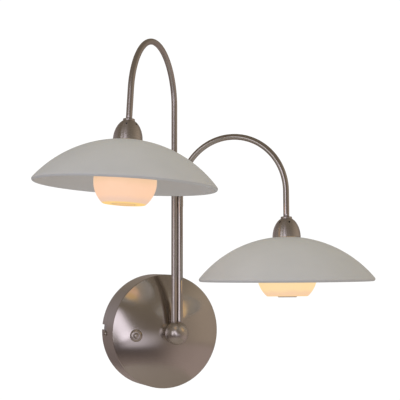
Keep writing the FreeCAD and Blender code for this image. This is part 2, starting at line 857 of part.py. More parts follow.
def cap_block(inset, height):
    """The cap as a full solid, or the space inside it, standing on 0."""
    radius = cap_diameter / 2 - inset
    full = cap_full_height - inset
    side = cap_arc(radius, full, height)
    top = radius * math.sqrt(1 - (height / full) ** 2)
    corners = [V(top, 0, height), V(0, 0, height), V(0, 0, 0), V(radius, 0, 0)]
    edges = [side] + [Part.makeLine(here, there) for here, there in zip(corners, corners[1:])]
    return Part.Face(Part.Wire(Part.__sortEdges__(edges))).revolve(V(0, 0, 0), V(0, 0, 1), 360)


def make_cap(arm):
    cap = cap_block(0, cap_height).cut(cap_block(cap_wall, cap_height - cap_top_wall))
    cuts = [rod(spigot_diameter + 2 * thread_clearance, 0, cap_height + 1)]
    for i in range(vent_count):
        turn = math.radians(arm.vent_turn + i * 360 / vent_count)
        cuts.append(Part.makeCylinder(vent_diameter / 2, cap_diameter, V(0, 0, vent_height),
                                      V(math.cos(turn), math.sin(turn), 0)))
    cap = cap.cut(cuts)
    cap.translate(V(0, 0, cap_low))
    return cap


def make_spigot():
    """Collar that shows on top of the cap, with the hollow thread below it that carries the head."""
    collar = collar_diameter / 2
    seat = tube_diameter / 2 + solder_gap
    thread = spigot_diameter / 2
    bore = spigot_bore / 2
    floor = cap_top - tube_in_spigot
    high = cap_top + collar_height
    return turned((bore, spigot_low), (thread, spigot_low), (thread, cap_top), (collar, cap_top),
                  (collar, high - 0.5), (collar - 0.5, high), (seat, high), (seat, floor), (bore, floor))


def make_spigot_washer():
    hole = spigot_diameter + 2 * thread_clearance
    return ring(spigot_washer_diameter, hole, spigot_nut_top, spigot_washer_top)


def make_spigot_nut():
    low = spigot_nut_top - spigot_nut_height
    nut = hexagon(spigot_nut_flats, low, spigot_nut_top)
    return nut.cut(rod(spigot_diameter + 2 * thread_clearance, low - 1, spigot_nut_top + 1))


def make_glass_carrier():
    """Threaded metal cup: its disc on the spigot, its skirt round the cup's neck, on the saucer."""
    hole = spigot_diameter / 2 + thread_clearance
    disc = carrier_disc_diameter / 2
    inner = cup_neck_diameter / 2 + carrier_clearance
    outer = inner + carrier_wall
    high = carrier_top
    low = saucer_height(inner) + cap_seat_gap
    cone = high - carrier_cone_height
    return turned((hole, spigot_low), (hole, high), (disc, high), (outer, cone), (outer, low), (inner, low),
                  (inner, cone - carrier_disc_thickness), (disc - carrier_wall, spigot_low))


def pin_places():
    return [(-pin_spacing / 2, 0), (pin_spacing / 2, 0)]


def make_lamp_holder():
    high = spigot_low - solder_gap
    low = high - holder_height
    body = rod(holder_diameter, low, high)
    body = body.makeFillet(0.8, [e for e in body.Edges if abs(e.BoundBox.ZMax - low) < 0.01])
    flat = block((-holder_diameter, holder_flats / 2, low - 1),
                 (holder_diameter, holder_diameter, high + 1))
    holes = [Part.makeCylinder(pin_diameter / 2 + pin_clearance, pin_in_holder + 1.5, V(x, y, low - 1))
             for x, y in pin_places()]
    return body.cut(side_pair(flat) + holes)


def capsule_top():
    """Top of the capsule's flat end, below the holder by the bare part of the pins."""
    return spigot_low - solder_gap - holder_height - (pin_length - pin_in_holder)


def make_lamp_capsule():
    """Glass capsule: flat pinch at the pins, round body, rounded tip."""
    high = capsule_top()
    low = high - capsule_length
    radius = capsule_diameter / 2
    body_top = high - capsule_pinch
    slope = radius * math.sqrt(0.5)
    tip = ((slope, low + radius - slope), (radius, low + radius))
    shoulder = ((radius * 0.9, body_top - 0.6), (radius * 0.6, body_top))
    body = turned((0, low), tip, (radius, body_top - 2), shoulder, (0, body_top))
    half = capsule_pinch_thickness / 2
    pinch = block((-radius * 0.92, -half, body_top - 2), (radius * 0.92, half, high))
    return body.fuse(pinch.makeFillet(0.8, [e for e in pinch.Edges if e.BoundBox.ZLength > 3]))


def make_lamp_pins():
    return Part.makeCompound([Part.makeCylinder(pin_diameter / 2, pin_length, V(x, y, capsule_top()))
                              for x, y in pin_places()])


def head_of(arm, shape):
    """From the head frame to the light's frame, at the end of the arm's tube."""
    _, _, _, _, end, direction, outward = bend(arm)
    return placed(shape, end + direction * arm.drop, outward, direction * -1)


# The light, piece by piece

pieces = {
    "wall_bracket": on_wall(make_wall_bracket()),
    "canopy_shell": on_wall(make_canopy_shell()),
    "canopy_side_screws": on_wall(make_side_screws()),
    "transformer": on_wall(make_transformer()),
    "transformer_screws": on_wall(make_transformer_screws()),
    "terminal_block": on_wall(make_terminal_block()),
    "terminal_screw": on_wall(make_terminal_screw()),
    "earth_tag": on_wall(make_earth_tag()),
    "earth_screw": on_wall(make_earth_screw()),
    "switch_body": on_wall(on_switch(make_switch_body())),
    "switch_nut": on_wall(on_switch(make_switch_nut())),
    "switch_ring": on_wall(on_switch(make_switch_ring())),
    "switch_plunger": on_wall(on_switch(make_switch_plunger())),
    "dome_washer": on_wall(make_dome_washer()),
    "nipple": on_wall(make_nipple()),
    "nipple_nut": on_wall(make_nipple_nut()),
    "neck_ring": on_wall(make_neck_ring()),
    "hub_ball": make_hub_ball(),
    "ball_plug": make_ball_plug(),
    "foot_washers": make_foot_washers(),
}

for arm in arms:
    name = arm.side
    tube_end = arm.drop - cap_top + tube_in_spigot
    lead_end = arm.drop - spigot_low
    pieces[name + "_tube"] = crook(arm, tube_foot, tube_end, tube_diameter, tube_diameter - 2 * tube_wall)
    pieces[name + "_foot_stud"] = at_foot(arm, make_foot_stud())
    pieces[name + "_foot_ring"] = at_foot(arm, make_foot_ring())
    pieces[name + "_lead"] = crook(arm, foot_bottom, lead_end, lead_diameter)
    pieces[name + "_collar"] = head_of(arm, make_spigot())
    pieces[name + "_collar_washer"] = head_of(arm, make_spigot_washer())
    pieces[name + "_collar_nut"] = head_of(arm, make_spigot_nut())
    pieces[name + "_cap"] = head_of(arm, make_cap(arm))
    pieces[name + "_glass_carrier"] = head_of(arm, make_glass_carrier())
    pieces[name + "_lamp_holder"] = head_of(arm, make_lamp_holder())
    pieces[name + "_lamp_capsule"] = head_of(arm, make_lamp_capsule())
    pieces[name + "_lamp_pins"] = head_of(arm, make_lamp_pins())
    pieces[name + "_gasket"] = head_of(arm, make_gasket(arm))
    pieces[name + "_saucer"] = head_of(arm, make_saucer())
    pieces[name + "_cup"] = head_of(arm, make_cup(arm))

foot_sleeve_low = ball_radius + foot_sleeve_gap
upper_sleeve_low = right_arm.bend_start - upper_sleeve_below_bend - sleeve_length
pieces["right_foot_sleeve"] = make_sleeve(right_arm, foot_sleeve_low)
pieces["right_upper_sleeve"] = make_sleeve(right_arm, upper_sleeve_low)

os.makedirs("parts", exist_ok=True)
for name, shape in pieces.items():
    shape.exportStep("parts/" + name + ".step")
    print(name, len(shape.Solids), "solid(s)", "valid" if shape.isValid() else "NOT VALID")
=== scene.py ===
import logging
import math
from dataclasses import dataclass, field
from enum import Enum
from functools import partial, reduce
from typing import Sequence

import bpy
from mathutils import Matrix, Quaternion, Vector


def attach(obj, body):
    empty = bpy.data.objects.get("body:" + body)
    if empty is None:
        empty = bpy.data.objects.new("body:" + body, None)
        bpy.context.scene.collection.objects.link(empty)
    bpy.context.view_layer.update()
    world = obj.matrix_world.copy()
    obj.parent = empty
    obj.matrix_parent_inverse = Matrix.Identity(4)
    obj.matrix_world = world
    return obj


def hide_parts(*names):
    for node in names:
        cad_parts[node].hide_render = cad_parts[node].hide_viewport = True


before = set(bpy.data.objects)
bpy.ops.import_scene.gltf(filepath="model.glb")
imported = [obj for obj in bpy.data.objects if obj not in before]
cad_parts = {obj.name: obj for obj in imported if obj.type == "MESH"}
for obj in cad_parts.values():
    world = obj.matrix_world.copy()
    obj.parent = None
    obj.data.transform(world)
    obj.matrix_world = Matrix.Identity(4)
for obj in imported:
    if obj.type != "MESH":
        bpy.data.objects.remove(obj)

LOG = logging.getLogger("wall_light")
MM = 0.001
FULL_TURN = 2.0 * math.pi
QUARTER_TURN = math.pi / 2.0
UP = Vector((0.0, 0.0, 1.0))
SECTION_MAP = "Section"
WRAP_MAP = "Wrap"

Pair = tuple[float, float]
Triple = tuple[float, float, float]
Colour = Triple
Profile = list[Pair]
Face = tuple[int, ...]
Material = bpy.types.Material
Mesh = bpy.types.Mesh
Socket = bpy.types.NodeSocket

SMOOTH: Pair = (0.0, 0.0)
NOISE_SPAN: Pair = (0.3, 0.7)
RISE: Pair = (0.0, 1.0)
FALL: Pair = (1.0, 0.0)
ZINC: Colour = (0.60, 0.61, 0.62)


class Grain(Enum):
    """Which way the brushing of a metal piece runs."""

    ROUND_X = "X"
    ROUND_Y = "Y"
    ROUND_Z = "Z"
    ROUND_TUBE = "tube"


class Side(Enum):
    """The two arms, by the side on which they stand for someone facing the wall."""

    LEFT = "left"
    RIGHT = "right"


class Nodes:
    """Thin helper round one node tree."""

    def __init__(self, tree: bpy.types.NodeTree) -> None:
        """Keeps the tree that the steps are added to."""
        self.tree = tree

    def node(self, kind: str, **settings: object) -> bpy.types.Node:
        """Adds a node and sets its properties.

        Args:
            kind: the node's type name.
            **settings: properties of the node.

        Returns:
            The new node.
        """
        made = self.tree.nodes.new(kind)
        for key, value in settings.items():
            setattr(made, key, value)
        return made

    def link(self, source: Socket, target: Socket) -> None:
        """Joins two sockets."""
        self.tree.links.new(source, target)

    def math(self, operation: str, first: object, second: object = None) -> Socket:
        """Adds one arithmetic step.

        Args:
            operation: the name of the operation.
            first: a socket or a number.
            second: a socket or a number, where the operation has two.

        Returns:
            The socket that carries the result.
        """
        step = self.node("ShaderNodeMath", operation=operation)
        for index, value in enumerate((first, second)):
            if isinstance(value, Socket):
                self.link(value, step.inputs[index])
            elif value is not None:
                step.inputs[index].default_value = value
        return step.outputs[0]

    def product(self, *values: object) -> Socket:
        """Multiplies two or more sockets or numbers."""
        return reduce(lambda first, second: self.math("MULTIPLY", first, second), values)

    def weigh(self, first: Socket, second: Socket, share: float = 0.5) -> Socket:
        """Mixes two patterns, the first with its share of the whole, the second with the rest."""
        return self.math("ADD", self.product(first, share), self.product(second, 1.0 - share))

    def coordinate(self, kind: str) -> Socket:
        """Gives one kind of texture coordinate."""
        return self.node("ShaderNodeTexCoord").outputs[kind]

    def parts(self, vector: Socket) -> list[Socket]:
        """Splits a vector into its three numbers."""
        self.link(vector, (step := self.node("ShaderNodeSeparateXYZ")).inputs[0])
        return list(step.outputs)

    def spread(self, value: Socket, ends: Pair, span: Pair = NOISE_SPAN, smooth: bool = False) -> Socket:
        """Maps a value to a range and holds it there.

        Args:
            value: the value.
            ends: results at the span's start and at its end.
            span: the values between which it changes; nearly all of a noise pattern lies in NOISE_SPAN.
            smooth: eases in and out, where it is set.

        Returns:
            The mapped value.
        """
        step = self.node("ShaderNodeMapRange", interpolation_type="SMOOTHSTEP" if smooth else "LINEAR")
        self.link(value, step.inputs["Value"])
        for key, number in zip(("To Min", "To Max", "From Min", "From Max"), (*ends, *span)):
            step.inputs[key].default_value = number
        return step.outputs[0]

    def ease(self, value: Socket, span: Pair, ends: Pair = RISE) -> Socket:
        """Goes softly from one end to the other over a span of the value."""
        return self.spread(value, ends, span, True)

    def blend(self, factor: Socket, first: object, second: object) -> Socket:
        """Mixes two colours.

        Args:
            factor: 0 gives the first colour, 1 the second.
            first: linear colour, or a socket that carries one.
            second: linear colour, or a socket that carries one.

        Returns:
            The mixed colour.
        """
        step = self.node("ShaderNodeMix", data_type="RGBA")
        self.link(factor, step.inputs["Factor"])
        colours = [socket for socket in step.inputs if socket.type == "RGBA"]
        for socket, colour in zip(colours, (first, second)):
            if isinstance(colour, Socket):
                self.link(colour, socket)
            else:
                socket.default_value = (*colour, 1.0)
        return [socket for socket in step.outputs if socket.type == "RGBA"][0]


class Shader(Nodes):
    """One material with its surface shader."""

    def __init__(self, name: str) -> None:
        """Starts an empty material that holds one surface shader.

        Args:
            name: the material's name.
        """
        self.material = bpy.data.materials.new(name)
        self.material.use_nodes = True
        super().__init__(self.material.node_tree)
        self.surface = self.tree.nodes["Principled BSDF"]

    def feed(self, name: str, source: Socket) -> None:
        """Joins a socket to the surface shader's input of that name."""
        self.link(source, self.surface.inputs[name])

    def set(self, **values: object) -> None:
        """Sets constants on the surface shader; underscores stand for spaces in socket names."""
        for key, value in values.items():
            self.surface.inputs[key.replace("_", " ")].default_value = value

    def noise(self, scale: float, detail: float = 2.0, stretch: Triple = (1.0, 1.0, 1.0),
              place: Socket | None = None) -> Socket:
        """Adds a noise pattern.

        Args:
            scale: cells per metre.
            detail: how many finer layers it has.
            stretch: scale along each coordinate.
            place: coordinates to read it at, in metres; without them, the object's own.

        Returns:
            The pattern's value, near 0.5.
        """
        mapping = self.node("ShaderNodeMapping")
        mapping.inputs["Scale"].default_value = stretch
        self.link(self.coordinate("Object") if place is None else place, mapping.inputs["Vector"])
        pattern = self.node("ShaderNodeTexNoise")
        pattern.inputs["Scale"].default_value = scale
        pattern.inputs["Detail"].default_value = detail
        self.link(mapping.outputs[0], pattern.inputs["Vector"])
        return pattern.outputs[0]

    def tone(self, pattern: Socket, colour: Colour, factors: Pair) -> Socket:
        """Gives a colour that a noise pattern makes darker and lighter, between two factors."""
        shades = [tuple(part * factor for part in colour) for factor in factors]
        return self.blend(self.spread(pattern, RISE), *shades)

    def rough(self, pattern: Socket, roughness: float, factors: Pair) -> None:
        """Lets a noise pattern change the roughness between two factors."""
        self.feed("Roughness", self.spread(pattern, (roughness * factors[0], roughness * factors[1])))

    def bump(self, height: Socket, relief: Pair) -> None:
        """Adds relief to the surface.

        Args:
            height: pattern of the relief.
            relief: height in metres of one unit of the pattern, and how much of it shows.
        """
        step = self.node("ShaderNodeBump")
        step.inputs["Distance"].default_value, step.inputs["Strength"].default_value = relief
        self.link(height, step.inputs["Height"])
        self.feed("Normal", step.outputs[0])


@dataclass(frozen=True)
class Finish:
    """What every finish has; patterns are counted per metre, reliefs are a depth in metres and a share."""

    name: str

    def build(self) -> Material:
        """Makes the material.

        Returns:
            The finished material.
        """
        shader = Shader(self.name)
        self.paint(shader)
        return shader.material

    def paint(self, shader: Shader) -> None:
        """Adds the finish's own steps."""
        raise NotImplementedError


@dataclass(frozen=True)
class BrushedNickel(Finish):
    """Satin nickel with fine brushing round the piece."""

    grain: Grain
    colour: Colour = (0.56, 0.52, 0.485)
    roughness: float = 0.19
    anisotropy: float = 0.6
    highlight_turn: float = 0.25
    lines: float = 2600.0
    clouds: float = 26.0
    detail: float = 3.0
    share_of_lines: float = 0.6
    contrast: float = 0.05
    rough_spread: float = 0.07
    relief: Pair = (0.000004, 0.25)
    metres_per_radian: float = 0.01
    stretch_on_piece: Triple = (1.0, 0.03, 0.03)
    stretch_on_tube: Triple = (0.06, 1.0, 1.0)

    def paint(self, shader: Shader) -> None:
        """Adds the brushing, faint clouds and the highlight across the lines.

        Args:
            shader: the material's shader.
        """
        way = {"direction_type": "RADIAL", "axis": self.grain.value}
        if self.grain is Grain.ROUND_TUBE:
            way = {"direction_type": "UV_MAP", "uv_map": WRAP_MAP}
        shader.feed("Tangent", shader.node("ShaderNodeTangent", **way).outputs[0])
        lines = self._lines(shader)
        mixed = shader.weigh(lines, shader.noise(self.clouds, self.detail), self.share_of_lines)
        shader.feed("Base Color", shader.tone(mixed, self.colour, (1.0 - self.contrast, 1.0 + self.contrast)))
        shader.rough(mixed, self.roughness, (1.0 - self.rough_spread, 1.0 + self.rough_spread))
        if self.relief != SMOOTH:
            shader.bump(lines, self.relief)
        shader.set(Metallic=1.0, Anisotropic=self.anisotropy, Anisotropic_Rotation=self.highlight_turn)

    def _lines(self, shader: Shader) -> Socket:
        """Gives the brushing's lines.

        Args:
            shader: the material's shader.

        Returns:
            A pattern that is long round the piece and short across.
        """
        if self.grain is Grain.ROUND_TUBE:
            place = shader.node("ShaderNodeUVMap", uv_map=WRAP_MAP).outputs[0]
            return shader.noise(self.lines, self.detail, self.stretch_on_tube, place)
        right, back, up = shader.parts(shader.coordinate("Object"))
        across, around = up, right
        if self.grain is Grain.ROUND_Y:
            squares = (shader.product(right, right), shader.product(up, up))
            across = shader.math("SQRT", shader.math("ADD", *squares))
            around = shader.product(shader.math("ARCTAN2", right, up), self.metres_per_radian)
        joined = shader.node("ShaderNodeCombineXYZ")
        for value, target in zip((across, around, back), joined.inputs):
            shader.link(value, target)
        return shader.noise(self.lines, self.detail, self.stretch_on_piece, joined.outputs[0])


@dataclass(frozen=True)
class Grained(Finish):
    """Hard material with a fine grain and broader clouds."""

    colour: Colour
    roughness: float
    grain: float
    relief: Pair
    clouds: float
    cloud_detail: float
    cloud_stretch: Triple
    tones: Pair
    rough_factors: Pair
    metallic: bool
    grain_detail: float = 4.0

    def paint(self, shader: Shader) -> None:
        """Adds the grain and the clouds, which change a metal's polish too.

        Args:
            shader: the material's shader.
        """
        grain = shader.noise(self.grain, self.grain_detail)
        mixed = shader.weigh(grain, shader.noise(self.clouds, self.cloud_detail, self.cloud_stretch))
        shader.feed("Base Color", shader.tone(mixed, self.colour, self.tones))
        shader.rough(mixed if self.metallic else grain, self.roughness, self.rough_factors)
        shader.bump(grain, self.relief)
        shader.set(Metallic=float(self.metallic))


@dataclass(frozen=True)
class PlatedSteel(Grained):
    """Bright zinc plate, or another plain metal; its clouds are long like handling marks."""

    roughness: float = 0.34
    grain: float = 420.0
    relief: Pair = (0.00003, 0.3)
    clouds: float = 60.0
    cloud_detail: float = 6.0
    cloud_stretch: Triple = (1.0, 6.0, 1.0)
    tones: Pair = (0.82, 1.08)
    rough_factors: Pair = (1.25, 0.8)
    metallic: bool = True


@dataclass(frozen=True)
class Moulded(Grained):
    """Moulded, fired or pressed material that isn't metal."""

    grain: float = 900.0
    relief: Pair = (0.00006, 0.5)
    clouds: float = 70.0
    cloud_detail: float = 3.0
    cloud_stretch: Triple = (1.0, 1.0, 1.0)
    tones: Pair = (0.86, 1.10)
    rough_factors: Pair = (0.85, 1.15)
    metallic: bool = False


@dataclass(frozen=True)
class EtchedGlass(Finish):
    """White glass with an acid-etched skin: dense, softly translucent, with a dull sheen, painted shade on
    its underside and a faint painted glow.
    """

    colour: Colour = (0.83, 0.86, 0.86)
    # painted shade: surfaces facing down get this darker copy of the glass colour
    painted_underside_shade: Colour = (0.66, 0.70, 0.72)
    # painted light: a faint even glow of the saucer glass's own, though the saucer is no lamp
    glow: Colour = (0.085, 0.095, 0.095)
    tones: Pair = (0.965, 1.03)
    clouds: float = 18.0
    cloud_detail: float = 3.0
    etching: float = 2600.0
    painted_shade_to_top: Pair = (-0.2, 0.1)
    roughness: Pair = (0.39, 0.45)
    etch_rough: Pair = (-0.04, 0.04)
    relief: Pair = (0.00001, 0.4)
    refraction: float = 1.5
    softness: float = 0.35
    soft_reach: float = 0.006
    soft_reach_by_colour: Triple = (1.0, 0.95, 0.85)

    def paint(self, shader: Shader) -> None:
        """Adds the etched skin, painted shade on the underside, a faint painted glow and the soft depth.

        Args:
            shader: the material's shader.
        """
        clouds = shader.noise(self.clouds, self.cloud_detail)
        etching = shader.noise(self.etching)
        normal = shader.node("ShaderNodeNewGeometry").outputs["Normal"]
        # painted shade: the mask gives down-facing glass the darker underside colour
        lit_top_share = shader.ease(shader.parts(normal)[2], self.painted_shade_to_top)
        tone = shader.tone(clouds, self.colour, self.tones)
        shader.feed("Base Color", shader.blend(lit_top_share, self.painted_underside_shade, tone))
        rough = (shader.spread(etching, self.etch_rough), shader.spread(clouds, self.roughness))
        shader.feed("Roughness", shader.math("ADD", *rough))
        shader.bump(etching, self.relief)
        # painted light: the emission makes the saucer glass glow faintly of itself
        shader.set(Subsurface_Weight=self.softness, Subsurface_Scale=self.soft_reach, IOR=self.refraction,
                   Subsurface_Radius=self.soft_reach_by_colour, Emission_Color=(*self.glow, 1.0),
                   Emission_Strength=1.0)


@dataclass(frozen=True)
class OpalGlass(Finish):
    """Opal glass lit from inside: it glows most at the lamp's height, and its ground disc stays dull.

    Heights and radii are in metres, in the head's own frame.
    """

    glow: Colour
    glow_top: Colour
    glow_corner: Colour
    glow_floor: Colour
    ring: Colour
    disc: Colour
    white: Colour = (0.50, 0.49, 0.50)
    floor_to_side: Pair = (-0.0204, -0.0192)
    corner_to_lamp: Pair = (-0.018, -0.011)
    lamp_to_top: Pair = (-0.003, 0.014)
    disc_to_ring: Pair = (0.0126, 0.0129)
    ring_to_floor: Pair = (0.015, 0.017)
    clouds: float = 60.0
    cloud_detail: float = 3.0
    cloud_shift: Pair = (-0.0015, 0.0015)
    grain: float = 900.0
    roughness: Pair = (0.27, 0.35)
    specular: float = 0.2

    def paint(self, shader: Shader) -> None:
        """Adds the glow by height and radius, and a fine grain.

        Args:
            shader: the material's shader.
        """
        radius, height, _ = shader.parts(shader.node("ShaderNodeUVMap", uv_map=SECTION_MAP).outputs[0])
        clouds = shader.spread(shader.noise(self.clouds, self.cloud_detail), self.cloud_shift)
        level = shader.math("ADD", height, clouds)
        side = shader.blend(shader.ease(level, self.corner_to_lamp), self.glow_corner, self.glow)
        side = shader.blend(shader.ease(level, self.lamp_to_top), side, self.glow_top)
        ground = shader.blend(shader.ease(radius, self.disc_to_ring), self.disc, self.ring)
        ground = shader.blend(shader.ease(radius, self.ring_to_floor), ground, self.glow_floor)
        whole = shader.blend(shader.ease(height, self.floor_to_side), ground, side)
        shader.feed("Emission Color", whole)
        shader.feed("Roughness", shader.spread(shader.noise(self.grain), self.roughness))
        shader.set(Emission_Strength=1.0, Specular_IOR_Level=self.specular, Base_Color=(*self.white, 1.0))


@dataclass(frozen=True)
class ClearGlass(Finish):
    """Quartz glass of the small lamps."""

    ripples: float = 240.0
    colours: tuple[Colour, Colour] = ((0.93, 0.93, 0.91), (0.98, 0.98, 0.97))
    roughness: Pair = (0.03, 0.10)
    relief: Pair = (0.00005, 0.4)
    refraction: float = 1.46

    def paint(self, shader: Shader) -> None:
        """Adds the ripples.

        Args:
            shader: the material's shader.
        """
        ripple = shader.noise(self.ripples)
        shader.feed("Roughness", shader.spread(ripple, self.roughness))
        shader.feed("Base Color", shader.blend(ripple, *self.colours))
        shader.bump(ripple, self.relief)
        shader.set(Transmission_Weight=1.0, IOR=self.refraction)


def dress(nodes: Sequence[str], material: Material) -> None:
    """Gives CAD nodes a material.

    Args:
        nodes: the nodes' names.
        material: what they get.
    """
    for name in nodes:
        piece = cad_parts[name]
        piece.data.materials.clear()
        piece.data.materials.append(material)
        LOG.info("dressed %s in %s", name, material.name)


def put(name: str, data: bpy.types.ID) -> bpy.types.Object:
    """Puts a new object with this mesh, light or camera into the scene."""
    bpy.context.scene.collection.objects.link(thing := bpy.data.objects.new(name, data))
    return thing


def add_piece(name: str, mesh: Mesh, material: Material, body: str,
              stands_for: Sequence[str]) -> None:
    """Puts a new piece into the scene and ties it to the frame.

    Args:
        name: the piece's name.
        mesh: its shape, in metres and in place.
        material: its finish.
        body: the body that it moves with.
        stands_for: the CAD nodes that it replaces.
    """
    piece = put(name, mesh)
    mesh.materials.append(material)
    for face in mesh.polygons:
        face.use_smooth = True
    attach(piece, body)
    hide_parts(*stands_for)
    LOG.info("built %s: %d faces, riding on %s", name, len(mesh.polygons), body)


def ring_steps(count: int) -> list[tuple[int, int]]:
    """Pairs each place on a ring with the next one."""
    return [(index, (index + 1) % count) for index in range(count)]


def circle(radius: float, height: float, steps: int) -> list[Triple]:
    """Gives points on a level circle round Z."""
    turns = [FULL_TURN * index / steps for index in range(steps)]
    return [(radius * math.cos(turn), radius * math.sin(turn), height) for turn in turns]


def bands(starts: Sequence[int], steps: int) -> list[Face]:
    """Joins equal rings of points, each named by its first point, with quads from ring to ring."""
    return [(low + index, low + after, high + after, high + index)
            for low, high in zip(starts, starts[1:]) for index, after in ring_steps(steps)]


def mesh_of(name: str, points: Sequence[Sequence[float]], faces: Sequence[Face]) -> Mesh:
    """Makes a mesh from points in metres and faces that count them."""
    (mesh := bpy.data.meshes.new(name)).from_pydata(points, [], faces)
    return mesh


def lathe(name: str, profile: Profile, steps: int, to_world: Matrix) -> Mesh:
    """Turns a profile round local Z; it closes on itself, or on the axis where it starts and ends.

    Its mapping named Section holds each point's radius and height, in metres.

    Args:
        name: the mesh's name.
        profile: (radius, height) points, counter-clockwise.
        steps: how many faces there are round the axis.
        to_world: where the turned shape goes.

    Returns:
        The mesh, in place.
    """
    points: list[Vector] = []
    section: list[Pair] = []
    rings: list[list[int]] = []
    for radius, height in profile:
        count = steps if radius > 0.0 else 1
        rings.append([len(points) + index for index in range(count)])
        section += [(radius, height)] * count
        points += [to_world @ Vector(point) for point in circle(radius, height, steps)[:count]]
    pairs = list(zip(rings, rings[1:]))
    if len(rings[0]) > 1:
        pairs.append((rings[-1], rings[0]))
    faces: list[Face] = []
    for low, high in pairs:
        for index, after in ring_steps(steps):
            if len(low) == 1:
                faces.append((low[0], high[after], high[index]))
            elif len(high) == 1:
                faces.append((low[index], low[after], high[0]))
            else:
                faces.append((low[index], low[after], high[after], high[index]))
    mesh = mesh_of(name, points, faces)
    layer = mesh.uv_layers.new(name=SECTION_MAP)
    for loop in mesh.loops:
        layer.data[loop.index].uv = section[loop.vertex_index]
    mesh.validate()
    mesh.update()
    return mesh


def arc(centre: Pair, radius: float, start: float, end: float, steps: int) -> Profile:
    """Gives points on an arc in the profile's plane, from one angle in radians to another, both included."""
    angles = [start + (end - start) * index / steps for index in range(steps + 1)]
    return [(centre[0] + radius * math.cos(angle), centre[1] + radius * math.sin(angle)) for angle in angles]


@dataclass
class Crook:
    """One arm: an upright tube bent over in a half turn, with its hanging end straight.

    Sizes are in millimetres and angles in degrees.
    """

    side: Side
    foot: Pair
    azimuth: float
    bend_start: float
    short_of_half_turn: float
    twist: float
    drop: float
    roughness: float
    tube_low: float = 5.7
    tube_end_above_rim: float = 79.24
    bend_radius: float = 76.8
    tube_radius: float = 4.0
    tube_bore: float = 3.0
    upright_span: float = 12.0
    bend_rings: int = 40
    tail_rings: int = 5
    sides: int = 32

    @property
    def body(self) -> str:
        """Names the body that the arm moves with."""
        return self.side.value + "_arm"

    def _directions(self) -> tuple[Vector, Vector, float]:
        """Gives the way the arm is bent.

        Returns:
            The way out over the room, the way down of the second bend, and its sweep in radians.
        """
        angle = math.radians(self.azimuth)
        outward = Vector((math.sin(angle), -math.cos(angle), 0.0))
        sideways = Vector((math.cos(angle), math.sin(angle), 0.0))
        turn = math.radians(self.twist)
        down = Vector((0.0, 0.0, -math.cos(turn))) + sideways * math.sin(turn)
        return outward, down, QUARTER_TURN - math.radians(self.short_of_half_turn)

    def _upright(self, height: float) -> Vector:
        """Gives the upright's middle at a height in millimetres."""
        return Vector((*self.foot, height)) * MM

    def _top(self) -> Vector:
        """Gives the arm's highest point, where the first bend ends and the second starts."""
        radius = self.bend_radius * MM
        return self._upright(self.bend_start) + self._directions()[0] * radius + UP * radius

    def _bent(self, start: Vector, along: Vector, towards: Vector, angle: float) -> tuple[Vector, Vector]:
        """Gives point and heading where a bend from along to towards has turned by an angle in radians."""
        radius = self.bend_radius * MM
        return (start + along * (radius * math.sin(angle)) + towards * (radius * (1.0 - math.cos(angle))),
                along * math.cos(angle) + towards * math.sin(angle))

    def head_matrix(self) -> Matrix:
        """Gives the head's place.

        Returns:
            A matrix with its origin at the saucer's rim, Z back up the tube's end and X outwards.
        """
        outward, down, sweep = self._directions()
        end, heading = self._bent(self._top(), outward, down, sweep)
        up = -heading
        across = up.cross(outward).normalized()
        matrix = Matrix((across.cross(up), across, up)).transposed().to_4x4()
        matrix.translation = end + heading * (self.drop * MM)
        return matrix

    def route(self) -> list[tuple[Vector, Vector, float]]:
        """Gives the tube's middle line.

        Returns:
            Points with their heading and their distance along the tube, in metres.
        """
        outward, down, sweep = self._directions()
        low, start, top = self._upright(self.tube_low), self._upright(self.bend_start), self._top()
        end, heading = self._bent(top, outward, down, sweep)
        tail = (self.drop - self.tube_end_above_rim) * MM
        spans = int((start - low).length / (self.upright_span * MM))
        points = [(low.lerp(start, index / spans), UP) for index in range(spans)]
        for begin, along, towards, full in ((start, UP, outward, QUARTER_TURN), (top, outward, down, sweep)):
            points += [self._bent(begin, along, towards, full * index / self.bend_rings)
                       for index in range(self.bend_rings)]
        points += [(end + heading * (tail * index / (self.tail_rings - 1)), heading)
                   for index in range(self.tail_rings)]
        distance = 0.0
        out = []
        for index, (point, direction) in enumerate(points):
            if index:
                distance += (point - points[index - 1][0]).length
            out.append((point, direction, distance))
        return out

    def build(self) -> None:
        """Builds the tube with its bore and its brushing, and ties it to the frame."""
        route = self.route()
        points: list[Vector] = []
        wraps: list[Pair] = []
        for radius in (self.tube_radius * MM, self.tube_bore * MM):
            across = Vector((0.0, -1.0, 0.0))
            for point, heading, along in route:
                across = (across - heading * across.dot(heading)).normalized()
                side = heading.cross(across)
                for index in range(self.sides):
                    angle = FULL_TURN * index / self.sides
                    out = across * (radius * math.cos(angle))
                    points.append(point + out + side * (radius * math.sin(angle)))
                    wraps.append((radius * angle, along))
        outside = list(range(0, len(points) // 2, self.sides))
        inside = [len(points) // 2 + start for start in reversed(outside)]
        node = self.side.value + "_tube"
        mesh = mesh_of(node + "_dressed", points, bands(outside + inside + outside[:1], self.sides))
        self._map(mesh, wraps)
        mesh.validate()
        mesh.update()
        nickel = BrushedNickel(self.side.value + "_nickel_tube", Grain.ROUND_TUBE, (0.53, 0.49, 0.46),
                               roughness=self.roughness, anisotropy=0.7, lines=5000.0, contrast=0.025,
                               rough_spread=0.03, relief=SMOOTH)
        add_piece(node + "_dressed", mesh, nickel.build(), self.body, [node])

    def _map(self, mesh: Mesh, wraps: Sequence[Pair]) -> None:
        """Maps the tube round and along, in metres, and keeps the faces at the seam whole.

        Args:
            mesh: the tube's mesh.
            wraps: how far round and along each point is.
        """
        layer = mesh.uv_layers.new(name=WRAP_MAP)
        full = FULL_TURN * self.tube_radius * MM
        first_quarter, last_quarter = full * 0.25, full * 0.75
        for face in mesh.polygons:
            values = [wraps[mesh.loops[loop].vertex_index] for loop in face.loop_indices]
            at_seam = max(turn for turn, _ in values) > last_quarter
            for loop, (turn, along) in zip(face.loop_indices, values):
                layer.data[loop].uv = (turn + full if at_seam and turn < first_quarter else turn, along)


